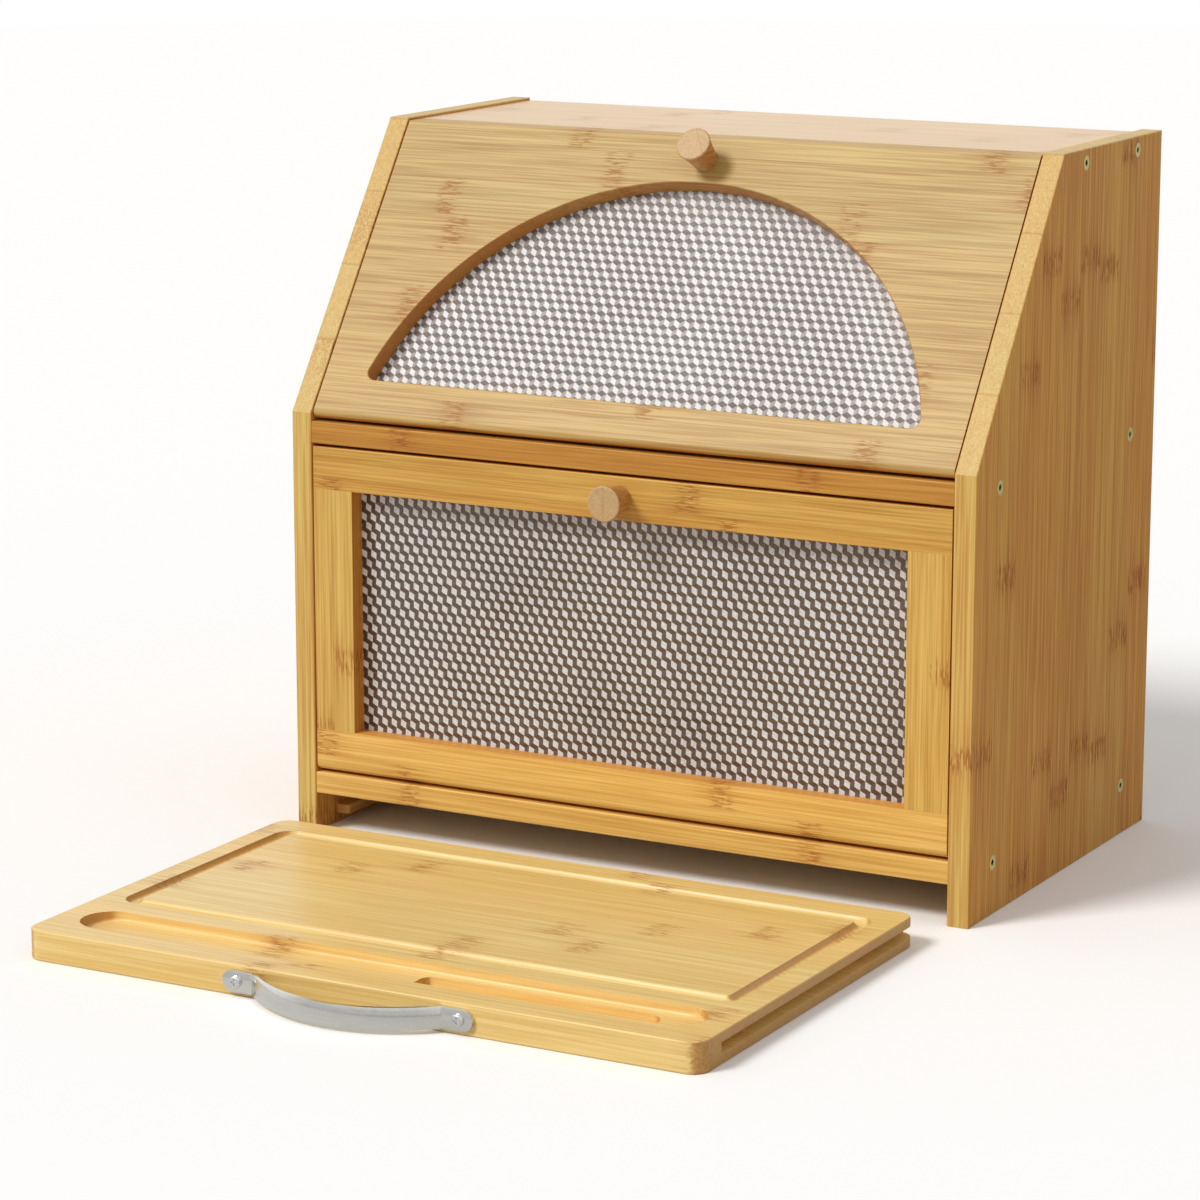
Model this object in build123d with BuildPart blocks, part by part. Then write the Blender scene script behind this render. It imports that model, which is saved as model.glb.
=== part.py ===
from build123d import *
from math import atan2, cos, degrees, radians, sin, sqrt, tan
import os

# Two-tier bamboo bread box with two drop-down doors and a pull-out cutting board.
# Millimetres. +Z up, +X to the right as seen from the front, +Y towards the back.
# The cutting board is drawn right out and lies in front of the box.
# Origin: middle of the footprint of everything, on the worktop.

os.makedirs("parts", exist_ok=True)

# ---------------------------------------------------------------- driving dimensions

# cabinet
width = 400.0
depth = 239.0
height = 381.0
kink_height = 232.0         # where the side panels' front edge starts to lean back
top_setback = 104.0         # how far the lean carries the front edge back at the top
side_thickness = 12.0
panel_thickness = 12.0
bay_height = 21.5           # under the bottom panel, where the cutting board parks
lower_room = 182.0          # clear height of the lower compartment
front_recess = 0.5          # shelves and doors sit this far behind the side panels' front edges
top_drop = 1.5              # the top panel lies this far below the side panels' top ends
edge_round = 0.8            # eased edges of all the bamboo pieces
back_thickness = 5.0
back_groove_width = 5.2
back_groove_depth = 4.0
back_inset = 5.0            # from the back of the box to the groove
groove_play = 0.3

# assembly screws
screw_head_radius = 3.75
screw_shank_radius = 2.4
screw_length = 46.0
screw_sink_radius = 3.95
screw_head_depth = 0.2      # how far the heads lie below the side panels' faces
screw_front_margin = 30.0
screw_back_margin = 34.0
hex_across = 3.0
hex_depth = 2.4
thread_play = 0.05

# doors
door_thickness = 12.0
door_side_gap = 0.8
door_gap = 1.5              # above and below a door
upper_foot_round = 3.5      # lower outer edge of the slanted door
lower_foot_round = 4.0      # lower outer edge of the lower door
top_bevel_gap = 0.5         # between the slanted door's back and the top panel's bevel
rail_height = 23.0
stile_width = 24.0
tenon_length = 8.0
tenon_width = 12.0
tenon_thickness = 4.0
joint_play = 0.05

# panes
pane_thickness = 2.0
rebate_width = 8.0
pane_play = 0.3
arch_side_margin = 24.4     # from the door's sides to the ends of the window's straight foot
arch_foot_margin = 26.3     # from the door's lower edge to the window's foot, up the slope
arch_head_margin = 27.2     # from the top of the arch to the door's upper edge, up the slope
arch_corner = 5.0
pane_screw_head_radius = 2.4
pane_screw_head_height = 1.5
pane_screw_radius = 1.1
pane_screw_length = 9.0
pane_screw_margin = 4.0     # from the pane's edge to the screws
pane_hole_play = 0.3

# knobs
knob_length = 18.0
knob_face_radius = 9.75
knob_foot_radius = 6.75
knob_round = 0.9
knob_margin = 14.0          # down the slope from the slanted door's top edge to its knob
knob_screw_radius = 2.0
knob_screw_head_radius = 4.0
knob_screw_head_height = 2.4
knob_screw_bite = 12.0      # how far the screw goes into the knob

# hinge pins
upper_pin_radius = 1.5
lower_pin_radius = 2.0
pin_bite = 15.0             # length of a pin inside the door
pin_seat = 8.0              # length of a pin inside the side panel
pin_play = 0.06
upper_pivot_rise = 6.0      # above the mid shelf
upper_pivot_inset = 4.0     # behind the slanted door's outer face
lower_pivot_rise = 7.5      # above the bottom panel

# catches
magnet_radius = 4.0
magnet_length = 3.0
strike_length = 2.0
catch_play = 0.05
catch_margin = 57.2         # from the door's side to the middle of a catch
stop_length = 30.0
stop_size = 12.0
stop_gap = 0.5              # between the closed lower door and its stops
stop_screw_radius = 1.5
stop_screw_head_radius = 3.0
stop_screw_length = 20.0

# cutting board
board_thickness = 15.6
board_depth = 233.0
board_side_gap = 0.8
board_out = 35.0            # from the front of the box to the drawn-out board
board_corner = 9.0
board_edge_round = 1.0
slot_height = 5.6
slot_depth = 7.0
slot_floor = 5.2            # above the board's underside
slot_stop = 20.0            # from the board's front edge to the front end of the slots
runner_play = 0.3
runner_front_gap = 0.5
runner_seat = 4.0           # depth of the runner's groove in the side panel
runner_back_margin = 15.0
runner_lead = 1.5
juice_width = 8.7
juice_depth = 3.0
juice_side_margin = 12.7
juice_front_margin = 61.3
juice_back_margin = 17.5
juice_corner = 6.0
trough_side_margin = 14.2
trough_width = 30.0
trough_depth = 5.0
trough_front_margin = 16.8
trough_round = 1.8
pocket_margin = 24.5        # from the trough's right end to the handle pocket's round end
pocket_length = 130.5
pocket_width = 19.5
pocket_depth = 4.0          # below the trough's floor
pocket_corner = 5.0         # rounded corners of its square end

# strap handle
strap_thickness = 2.0
strap_height = 11.0
strap_chord = 105.0         # between the two bends
strap_rise = 24.0           # from the board's edge to the outside of the bow
strap_tab = 16.7
strap_bend = 1.0            # inner radius of the bends
tab_screw_spacing = 123.0
tab_screw_head_radius = 3.1
tab_screw_head_height = 1.8
tab_screw_radius = 1.5
tab_screw_length = 12.0
cross_length = 3.4
cross_width = 0.8
cross_depth = 0.9

# ---------------------------------------------------------------- worked out from them

reach = board_out + board_depth + strap_rise
front = (reach - depth) / 2
back = front + depth
inner = width - 2 * side_thickness
door_width = inner - 2 * door_side_gap

bottom_top = bay_height + panel_thickness
shelf_foot = bottom_top + lower_room
shelf_top = shelf_foot + panel_thickness
top_top = height - top_drop
top_foot = top_top - panel_thickness
groove_back = back - back_inset
groove_front = groove_back - back_groove_width

lean = atan2(top_setback, height - kink_height)
slope = Plane(origin=(0, front, kink_height), x_dir=(1, 0, 0), z_dir=(0, -cos(lean), sin(lean)))


def slope_y(z, inset):
    """Y of a point at height z that lies inset behind the sloped front."""
    return front + (z - kink_height) * tan(lean) + inset / cos(lean)


def up_slope(z, inset):
    """Distance up the slope from the kink to a point at height z and inset behind the front."""
    return (z - kink_height + inset * sin(lean)) / cos(lean)


def outer_face(side):
    """Plane on a side panel's outer face: local x runs along side * Y and local y up."""
    return Plane(origin=(side * width / 2, 0, 0), x_dir=(0, side, 0), z_dir=(side, 0, 0))


def inner_face(side):
    """Plane on a side panel's inner face, looking into the box."""
    return Plane(origin=(side * inner / 2, 0, 0), x_dir=(0, -side, 0), z_dir=(-side, 0, 0))


def write(part, name):
    part.label = name
    export_step(part, f"parts/{name}.step")


screw_back_y = back - screw_back_margin
screw_spots = [
    (front + top_setback + screw_front_margin - front_recess, (top_top + top_foot) / 2),
    (screw_back_y, (top_top + top_foot) / 2),
    (front + screw_front_margin, (shelf_top + shelf_foot) / 2),
    (screw_back_y, (shelf_top + shelf_foot) / 2),
    (front + screw_front_margin, (bottom_top + bay_height) / 2),
    (screw_back_y, (bottom_top + bay_height) / 2),
]

# slanted door, in the slope's plane
door_face = front_recess
door_back = front_recess + door_thickness
upper_foot = shelf_top + door_gap
upper_pivot_z = shelf_top + upper_pivot_rise
upper_pivot_y = slope_y(upper_pivot_z, door_face + upper_pivot_inset)
upper_head_up = up_slope(top_top, door_face)
upper_knob_up = upper_head_up - knob_margin
catch_spread = door_width / 2 - catch_margin

# arch window, a segment of a circle whose ends stand on a straight foot
arch_foot = up_slope(upper_foot, door_face) + arch_foot_margin
arch_rise = upper_head_up - arch_head_margin - arch_foot
arch_half = door_width / 2 - arch_side_margin
arch_radius = (arch_half**2 + arch_rise**2) / (2 * arch_rise)
arch_centre = arch_foot + arch_rise - arch_radius

# lower door
lower_foot = bottom_top + door_gap
lower_head = shelf_foot - door_gap
lower_front = front + front_recess
lower_back = lower_front + door_thickness
lower_pivot_z = bottom_top + lower_pivot_rise
lower_pivot_y = lower_front + door_thickness / 2
window_foot = lower_foot + rail_height
window_head = lower_head - rail_height
window_half = door_width / 2 - stile_width
lower_knob_z = lower_head - rail_height / 2
lower_catch_z = lower_head - (rail_height - rebate_width) / 2

# cutting board
board_width = inner - 2 * board_side_gap
board_front = front - board_out - board_depth
board_middle = board_front + board_depth / 2
slot_middle = slot_floor + slot_height / 2
runner_height = slot_height - 2 * runner_play
runner_reach = slot_depth
runner_front = front + front_recess + slot_stop + runner_front_gap
runner_back = back - runner_back_margin
board_travel = runner_front - runner_front_gap - (board_front + slot_stop)

# ---------------------------------------------------------------- cabinet


def side_panel(side, name):
    """A side panel with its sloped front, grooves, pivot holes and countersunk screw holes."""
    with BuildPart() as panel:
        with BuildSketch(Plane.YZ.offset(side * inner / 2)):
            with BuildLine():
                Polyline(
                    (front, 0), (back, 0), (back, height),
                    (front + top_setback, height), (front, kink_height), close=True,
                )
            make_face()
        extrude(amount=side * side_thickness)
        outer = panel.faces().sort_by(Axis.X)[-1 if side > 0 else 0]
        inside = panel.faces().sort_by(Axis.X)[0 if side > 0 else -1]
        fillet(outer.edges() + inside.edges(), edge_round)
        # groove for the back panel, open to the inside only
        with BuildSketch(inner_face(side)):
            with Locations((-side * (groove_front + groove_back) / 2, (bottom_top + top_foot) / 2)):
                Rectangle(back_groove_width, top_foot - bottom_top + 2 * back_groove_depth)
        extrude(amount=-back_groove_depth, mode=Mode.SUBTRACT)
        # groove that seats the board's runner
        with BuildSketch(inner_face(side)):
            with Locations((-side * (runner_front + runner_back) / 2, slot_middle)):
                Rectangle(runner_back - runner_front + 2 * joint_play, runner_height + 2 * joint_play)
        extrude(amount=-runner_seat, mode=Mode.SUBTRACT)
        # blind holes for the hinge pins
        with Locations(inner_face(side)):
            with Locations((-side * upper_pivot_y, upper_pivot_z)):
                Hole(radius=upper_pin_radius + pin_play, depth=pin_seat + groove_play)
            with Locations((-side * lower_pivot_y, lower_pivot_z)):
                Hole(radius=lower_pin_radius + pin_play, depth=pin_seat + groove_play)
        with Locations(outer_face(side)):
            with Locations(*[(side * y, z) for y, z in screw_spots]):
                CounterSinkHole(
                    radius=screw_shank_radius + thread_play,
                    counter_sink_radius=screw_sink_radius,
                    counter_sink_angle=90,
                )
    write(panel.part, name)


side_panel(-1, "side_panel_left")
side_panel(1, "side_panel_right")


def drill_screw_ends(y_z_pairs):
    """Pilot holes for the assembly screws in both ends of a panel between the sides."""
    pilot = screw_length + screw_head_depth - side_thickness + groove_play
    for side in (-1, 1):
        end = Plane(origin=(side * inner / 2, 0, 0), x_dir=(0, side, 0), z_dir=(side, 0, 0))
        with Locations(end):
            with Locations(*[(side * y, z) for y, z in y_z_pairs]):
                Hole(radius=screw_shank_radius + thread_play, depth=pilot)


# top panel: its front edge is bevelled to the slope and stops the slanted door
with BuildPart() as top_panel:
    with BuildSketch(Plane.YZ) as top_section:
        with BuildLine():
            Polyline(
                (slope_y(top_foot, door_back + top_bevel_gap), top_foot), (back, top_foot),
                (back, top_top), (slope_y(top_top, door_back + top_bevel_gap), top_top), close=True,
            )
        make_face()
    extrude(amount=inner / 2, both=True)
    fillet(top_panel.edges().filter_by(Axis.X), edge_round)
    with Locations((0, (groove_front + groove_back) / 2, top_foot + back_groove_depth / 2)):
        Box(inner, back_groove_width, back_groove_depth, mode=Mode.SUBTRACT)
    drill_screw_ends(screw_spots[0:2])
    bevel = slope.offset(-(door_back + top_bevel_gap))
    catch_up = up_slope((top_foot + top_top) / 2, door_back + top_bevel_gap)
    with Locations(bevel):
        with Locations((-catch_spread, catch_up), (catch_spread, catch_up)):
            Hole(radius=magnet_radius + catch_play, depth=magnet_length)
write(top_panel.part, "top_panel")

# mid shelf: stops short of the back panel
with BuildPart() as mid_shelf:
    with BuildSketch(Plane.XY.offset(shelf_foot)):
        with Locations((0, (lower_front + groove_front) / 2)):
            Rectangle(inner, groove_front - lower_front)
    extrude(amount=panel_thickness)
    fillet(mid_shelf.edges().filter_by(Axis.X).group_by(Axis.Y)[0], edge_round)
    drill_screw_ends(screw_spots[2:4])
    with Locations(Plane(origin=(0, 0, shelf_foot), x_dir=(1, 0, 0), z_dir=(0, 0, -1))):
        stop_y = lower_back + stop_gap + stop_size / 2
        with Locations((-catch_spread, -stop_y), (catch_spread, -stop_y)):
            Hole(radius=stop_screw_radius + thread_play, depth=stop_screw_length - stop_size + groove_play)
write(mid_shelf.part, "mid_shelf")

# bottom panel: a groove in its upper face takes the foot of the back panel
with BuildPart() as bottom_panel:
    with BuildSketch(Plane.XY.offset(bay_height)):
        with Locations((0, (lower_front + back) / 2)):
            Rectangle(inner, back - lower_front)
    extrude(amount=panel_thickness)
    fillet(bottom_panel.edges().filter_by(Axis.X), edge_round)
    with Locations((0, (groove_front + groove_back) / 2, bottom_top - back_groove_depth / 2)):
        Box(inner, back_groove_width, back_groove_depth, mode=Mode.SUBTRACT)
    drill_screw_ends(screw_spots[4:6])
write(bottom_panel.part, "bottom_panel")

# back panel: thin, caught in the grooves of the sides, top and bottom
with BuildPart() as back_panel:
    tongue = back_groove_depth - groove_play
    with BuildSketch(Plane.XZ.offset(-groove_front)):
        with Locations((0, (bottom_top + top_foot) / 2)):
            Rectangle(inner + 2 * tongue, top_foot - bottom_top + 2 * tongue)
    extrude(amount=-back_thickness)
write(back_panel.part, "back_panel")


def runner(side, name):
    """A hard strip let into the side panel, on which a slot of the cutting board slides."""
    with BuildPart() as strip:
        with BuildSketch(Plane.XY.offset(slot_middle - runner_height / 2)):
            with Locations((side * (inner - runner_reach + runner_seat) / 2, (runner_front + runner_back) / 2)):
                Rectangle(runner_reach + runner_seat, runner_back - runner_front)
        extrude(amount=runner_height)
        tip = strip.faces().sort_by(Axis.X)[0 if side > 0 else -1]
        chamfer(tip.edges().filter_by(Axis.Z).sort_by(Axis.Y)[0], runner_lead)
    write(strip.part, name)


runner(-1, "runner_left")
runner(1, "runner_right")

# one assembly screw, its axis along -Z with the head at the origin
with BuildPart() as assembly_screw:
    with BuildSketch(Plane.XZ):
        with BuildLine():
            neck = screw_head_radius - screw_shank_radius
            Polyline(
                (0, 0), (screw_head_radius, 0), (screw_shank_radius, -neck),
                (screw_shank_radius, -screw_length + screw_shank_radius), (0, -screw_length), close=True,
            )
        make_face()
    revolve(axis=Axis.Z)
    with BuildSketch():
        RegularPolygon(radius=hex_across / 2, side_count=6, major_radius=False)
    extrude(amount=-hex_depth, mode=Mode.SUBTRACT)


def assembly_screws(side, name):
    """The six screws of one side panel, two for each panel between the sides."""
    with BuildPart() as screws:
        with Locations(outer_face(side).offset(-screw_head_depth)):
            with Locations(*[(side * y, z) for y, z in screw_spots]):
                add(assembly_screw.part)
    write(screws.part, name)


assembly_screws(-1, "assembly_screws_left")
assembly_screws(1, "assembly_screws_right")

# catch magnets of the slanted door, let into the top panel's bevel
with BuildPart() as upper_magnets:
    with BuildSketch(bevel):
        with Locations((-catch_spread, catch_up), (catch_spread, catch_up)):
            Circle(magnet_radius)
    extrude(amount=-magnet_length)
write(upper_magnets.part, "upper_magnets")


def door_stop(side, name):
    """A block under the mid shelf that stops the lower door and carries its catch magnet."""
    with BuildPart() as block:
        with BuildSketch(Plane.XY.offset(shelf_foot)):
            with Locations((side * catch_spread, stop_y)):
                Rectangle(stop_length, stop_size)
        extrude(amount=-stop_size)
        fillet(block.edges().filter_by(Axis.Z), edge_round)
        with Locations(Plane(origin=(side * catch_spread, stop_y, shelf_foot - stop_size), z_dir=(0, 0, -1))):
            CounterSinkHole(
                radius=stop_screw_radius + thread_play,
                counter_sink_radius=stop_screw_head_radius + thread_play,
                counter_sink_angle=90,
            )
        with Locations(Plane(
            origin=(side * (catch_spread + magnet_offset), lower_back + stop_gap, lower_catch_z),
            x_dir=(1, 0, 0), z_dir=(0, -1, 0),
        )):
            Hole(radius=magnet_radius + catch_play, depth=magnet_length)
    write(block.part, name)


magnet_offset = stop_length / 2 - magnet_radius - 2.0
door_stop(-1, "door_stop_left")
door_stop(1, "door_stop_right")

# catch magnets of the lower door, let into its stops
with BuildPart() as lower_magnets:
    with BuildSketch(Plane.XZ.offset(-(lower_back + stop_gap))):
        lower_catch_x = catch_spread + magnet_offset
        with Locations((-lower_catch_x, lower_catch_z), (lower_catch_x, lower_catch_z)):
            Circle(magnet_radius)
    extrude(amount=-magnet_length)
write(lower_magnets.part, "lower_magnets")

# one stop screw, its axis along +Z from the head at the origin
with BuildPart() as stop_screw:
    with BuildSketch(Plane.XZ):
        with BuildLine():
            Polyline(
                (0, 0), (stop_screw_head_radius, 0),
                (stop_screw_radius, stop_screw_head_radius - stop_screw_radius),
                (stop_screw_radius, stop_screw_length), (0, stop_screw_length), close=True,
            )
        make_face()
    revolve(axis=Axis.Z)

with BuildPart() as door_stop_screws:
    head_z = shelf_foot - stop_size + catch_play
    with Locations((-catch_spread, stop_y, head_z), (catch_spread, stop_y, head_z)):
        add(stop_screw.part)
write(door_stop_screws.part, "door_stop_screws")

# ---------------------------------------------------------------- parts that both doors use

# one knob, standing on the XY plane, turned with a taper that widens to its flat face
with BuildPart() as knob:
    with BuildSketch(Plane.XZ) as knob_section:
        with BuildLine():
            foot = Line((0, 0), (knob_foot_radius, 0))
            flank = ThreePointArc(
                foot @ 1,
                ((knob_foot_radius + knob_face_radius) / 2 - knob_round / 2, knob_length / 2),
                (knob_face_radius, knob_length),
            )
            Polyline(flank @ 1, (0, knob_length), (0, 0))
        make_face()
        rim = knob_section.vertices().group_by(Axis.X)[-1]
        fillet(rim, knob_round)
    revolve(axis=Axis.Z)
    with Locations(Plane(origin=(0, 0, 0), z_dir=(0, 0, -1))):
        Hole(radius=knob_screw_radius + thread_play, depth=knob_screw_bite + groove_play)

# one knob screw: head below the XY plane by the door's thickness, shank up into the knob
with BuildPart() as knob_screw:
    with BuildSketch(Plane.XY.offset(-door_thickness)):
        Circle(knob_screw_radius)
    extrude(amount=door_thickness + knob_screw_bite)
    with BuildSketch(Plane.XY.offset(-door_thickness)):
        Circle(knob_screw_head_radius)
    extrude(amount=-knob_screw_head_height)
    fillet(knob_screw.edges().group_by(Axis.Z)[0], knob_screw_head_height / 2)
    with BuildSketch(Plane.XY.offset(-door_thickness - knob_screw_head_height)):
        Rectangle(cross_length, cross_width)
        Rectangle(cross_width, cross_length)
    extrude(amount=cross_depth, mode=Mode.SUBTRACT)

# one pane screw: head behind the pane, shank through it into the door, along +Z
with BuildPart() as pane_screw:
    with BuildSketch():
        Circle(pane_screw_head_radius)
    extrude(amount=-pane_screw_head_height)
    fillet(pane_screw.edges().group_by(Axis.Z)[0], pane_screw_head_height / 2)
    with BuildSketch():
        Circle(pane_screw_radius)
    extrude(amount=pane_screw_length)

# ---------------------------------------------------------------- slanted upper door


def arch(grow):
    """The half-moon outline on the slope, grown outwards all round by an amount."""
    radius = arch_radius + grow
    with BuildSketch(Plane.XY) as outline:
        with Locations((0, arch_centre)):
            Circle(radius)
        with Locations((0, arch_foot - grow - radius)):
            Rectangle(2 * radius, 2 * radius, mode=Mode.SUBTRACT)
        fillet(outline.vertices(), arch_corner)
    return outline.sketch


upper_pane_edge = rebate_width - pane_play
upper_screw_edge = upper_pane_edge - pane_screw_margin


def arch_screws():
    """Screw places round the arch: along the curve, then along the foot."""
    radius = arch_radius + upper_screw_edge
    spots = [
        (radius * sin(radians(a)), arch_centre + radius * cos(radians(a))) for a in (-66, -33, 0, 33, 66)
    ]
    foot = arch_foot - upper_screw_edge
    return spots + [(x * arch_radius, foot) for x in (-0.6, 0, 0.6)]


with BuildPart() as upper_door_panel:
    with BuildSketch(Plane.YZ) as door_section:
        with BuildLine():
            Polyline(
                (slope_y(upper_foot, door_face), upper_foot), (slope_y(upper_foot, door_back), upper_foot),
                (slope_y(top_top, door_back), top_top), (slope_y(top_top, door_face), top_top), close=True,
            )
        make_face()
        toe = door_section.vertices().group_by(Axis.Y)[0]
        fillet(toe, upper_foot_round)
    extrude(amount=door_width / 2, both=True)
    head = upper_door_panel.edges().filter_by(Axis.X).group_by(Axis.Z)[-1]
    fillet(head, edge_round)
    # arch window, with a rebate behind it for the pane
    with BuildSketch(slope):
        add(arch(0))
    extrude(amount=-door_back - door_thickness, mode=Mode.SUBTRACT)
    outer_skin = upper_door_panel.faces().filter_by(lambda f: (f.normal_at() - slope.z_dir).length < 1e-4)
    window_rim = outer_skin.sort_by(SortBy.AREA)[-1].inner_wires()[0].edges()
    fillet(window_rim, edge_round)
    with BuildSketch(slope.offset(-door_back)):
        add(arch(rebate_width))
    extrude(amount=pane_thickness, mode=Mode.SUBTRACT)
    # pivot holes in both ends, knob screw, strikes and pane screws
    for side in (-1, 1):
        with Locations(Plane(
            origin=(side * door_width / 2, upper_pivot_y, upper_pivot_z), x_dir=(0, side, 0), z_dir=(side, 0, 0),
        )):
            Hole(radius=upper_pin_radius + thread_play, depth=pin_bite)
    with Locations(slope.offset(-door_face)):
        with Locations((0, upper_knob_up)):
            Hole(radius=knob_screw_radius + thread_play, depth=2 * door_thickness)
    rear = Plane(origin=slope.offset(-door_back).origin, x_dir=(-1, 0, 0), z_dir=-slope.z_dir)
    with Locations(rear):
        with Locations((-catch_spread, catch_up), (catch_spread, catch_up)):
            Hole(radius=magnet_radius + catch_play, depth=strike_length)
        with Locations(*[(-x, up) for x, up in arch_screws()]):
            Hole(radius=pane_screw_radius + thread_play, depth=pane_screw_length + groove_play)
write(upper_door_panel.part, "upper_door_panel")

with BuildPart() as upper_pane:
    with BuildSketch(slope.offset(-door_back)):
        add(arch(upper_pane_edge))
    extrude(amount=pane_thickness)
    with Locations(slope.offset(-door_back + pane_thickness)):
        with Locations(*arch_screws()):
            Hole(radius=pane_screw_radius + pane_hole_play, depth=2 * pane_thickness)
write(upper_pane.part, "upper_pane")

with BuildPart() as upper_pane_screws:
    with Locations(slope.offset(-door_back)):
        with Locations(*arch_screws()):
            add(pane_screw.part)
write(upper_pane_screws.part, "upper_pane_screws")

with BuildPart() as upper_knob:
    with Locations(slope.offset(-door_face)):
        with Locations((0, upper_knob_up)):
            add(knob.part)
write(upper_knob.part, "upper_knob")

with BuildPart() as upper_knob_screw:
    with Locations(slope.offset(-door_face)):
        with Locations((0, upper_knob_up)):
            add(knob_screw.part)
write(upper_knob_screw.part, "upper_knob_screw")


def hinge_pins(pivot_y, pivot_z, radius, name):
    """Two steel pins, pressed into the door's ends and turning in the side panels."""
    with BuildPart() as pins:
        for side in (-1, 1):
            with BuildSketch(Plane.YZ.offset(side * (door_width / 2 - pin_bite))):
                with Locations((pivot_y, pivot_z)):
                    Circle(radius)
            extrude(amount=side * (pin_bite + door_side_gap + pin_seat))
    write(pins.part, name)


hinge_pins(upper_pivot_y, upper_pivot_z, upper_pin_radius, "upper_hinge_pins")

# steel strikes in the slanted door's back, opposite the top panel's magnets
with BuildPart() as upper_strikes:
    with BuildSketch(slope.offset(-door_back)):
        with Locations((-catch_spread, catch_up), (catch_spread, catch_up)):
            Circle(magnet_radius)
    extrude(amount=strike_length)
write(upper_strikes.part, "upper_strikes")

# ---------------------------------------------------------------- lower door

tenon_x = door_width / 2 - (stile_width - rebate_width) / 2
tenon_y = lower_front + door_thickness / 2 - pane_thickness / 2


def lower_rail(z_low, is_top, name):
    """A full-width rail, with a rebate for the pane and a mortise for each stile."""
    inward = -1 if is_top else 1
    pane_edge_z = z_low if is_top else z_low + rail_height
    with BuildPart() as rail:
        with BuildSketch(Plane.XY.offset(z_low)):
            with Locations((0, (lower_front + lower_back) / 2)):
                Rectangle(door_width, door_thickness)
        extrude(amount=rail_height)
        long_edges = rail.edges().filter_by(Axis.X)
        if is_top:
            fillet(long_edges.group_by(Axis.Z)[-1], edge_round)
        else:
            fillet(long_edges.group_by(Axis.Z)[0].sort_by(Axis.Y)[0], lower_foot_round)
        # rebate behind the window
        with Locations((0, lower_back - pane_thickness / 2, pane_edge_z - inward * rebate_width / 2)):
            Box(2 * (window_half + rebate_width), pane_thickness, rebate_width, mode=Mode.SUBTRACT)
        # mortises
        with Locations(*[
            (side * tenon_x, tenon_y, pane_edge_z - inward * (tenon_length + groove_play) / 2) for side in (-1, 1)
        ]):
            Box(
                tenon_width + 2 * joint_play, tenon_thickness + 2 * joint_play, tenon_length + groove_play,
                mode=Mode.SUBTRACT,
            )
        if is_top:
            knob_axis = Plane(origin=(0, lower_front, lower_knob_z), x_dir=(1, 0, 0), z_dir=(0, -1, 0))
            with Locations(knob_axis):
                Hole(radius=knob_screw_radius + thread_play, depth=2 * door_thickness)
            with Locations(*[
                Plane(origin=(x, lower_back, lower_catch_z), x_dir=(-1, 0, 0), z_dir=(0, 1, 0))
                for x in (-lower_catch_x, lower_catch_x)
            ]):
                Hole(radius=magnet_radius + catch_play, depth=strike_length)
        else:
            for side in (-1, 1):
                with Locations(Plane(
                    origin=(side * door_width / 2, lower_pivot_y, lower_pivot_z),
                    x_dir=(0, side, 0), z_dir=(side, 0, 0),
                )):
                    Hole(radius=lower_pin_radius + thread_play, depth=pin_bite)
        with Locations(*[
            Plane(origin=(x, lower_back, z), x_dir=(-1, 0, 0), z_dir=(0, 1, 0))
            for x, z in lower_pane_spots if (z > lower_knob_z - lower_room / 2) == is_top
        ]):
            Hole(radius=pane_screw_radius + thread_play, depth=pane_screw_length + groove_play)
    write(rail.part, name)


def lower_stile(side, name):
    """An upright between the rails, with a rebate and a tenon at each end."""
    with BuildPart() as stile:
        with BuildSketch(Plane.XY.offset(window_foot)):
            with Locations((side * (door_width / 2 - stile_width / 2), (lower_front + lower_back) / 2)):
                Rectangle(stile_width, door_thickness)
        extrude(amount=window_head - window_foot)
        with BuildSketch(Plane.XY.offset(window_foot - tenon_length)):
            with Locations((side * tenon_x, tenon_y)):
                Rectangle(tenon_width, tenon_thickness)
        extrude(amount=window_head - window_foot + 2 * tenon_length)
        with Locations((
            side * (window_half + rebate_width / 2), lower_back - pane_thickness / 2,
            (window_foot + window_head) / 2,
        )):
            Box(rebate_width, pane_thickness, window_head - window_foot, mode=Mode.SUBTRACT)
    write(stile.part, name)


pane_half = window_half + rebate_width - pane_play
pane_low = window_foot - rebate_width + pane_play
pane_high = window_head + rebate_width - pane_play
lower_pane_spots = [
    (x * (pane_half - pane_screw_margin), z)
    for z in (pane_low + pane_screw_margin, pane_high - pane_screw_margin)
    for x in (-0.85, -0.3, 0.3, 0.85)
]

lower_rail(lower_head - rail_height, True, "lower_door_top_rail")
lower_rail(lower_foot, False, "lower_door_bottom_rail")
lower_stile(-1, "lower_door_stile_left")
lower_stile(1, "lower_door_stile_right")

with BuildPart() as lower_pane:
    with BuildSketch(Plane.XZ.offset(-lower_back)):
        with Locations((0, (pane_low + pane_high) / 2)):
            Rectangle(2 * pane_half, pane_high - pane_low)
        with Locations(*lower_pane_spots):
            Circle(pane_screw_radius + pane_hole_play, mode=Mode.SUBTRACT)
    extrude(amount=pane_thickness)
write(lower_pane.part, "lower_pane")

with BuildPart() as lower_pane_screws:
    with Locations(Plane.XZ.offset(-lower_back)):
        with Locations(*lower_pane_spots):
            add(pane_screw.part)
write(lower_pane_screws.part, "lower_pane_screws")

with BuildPart() as lower_knob:
    with Locations(Plane.XZ.offset(-lower_front)):
        with Locations((0, lower_knob_z)):
            add(knob.part)
write(lower_knob.part, "lower_knob")

with BuildPart() as lower_knob_screw:
    with Locations(Plane.XZ.offset(-lower_front)):
        with Locations((0, lower_knob_z)):
            add(knob_screw.part)
write(lower_knob_screw.part, "lower_knob_screw")

hinge_pins(lower_pivot_y, lower_pivot_z, lower_pin_radius, "lower_hinge_pins")

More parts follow.
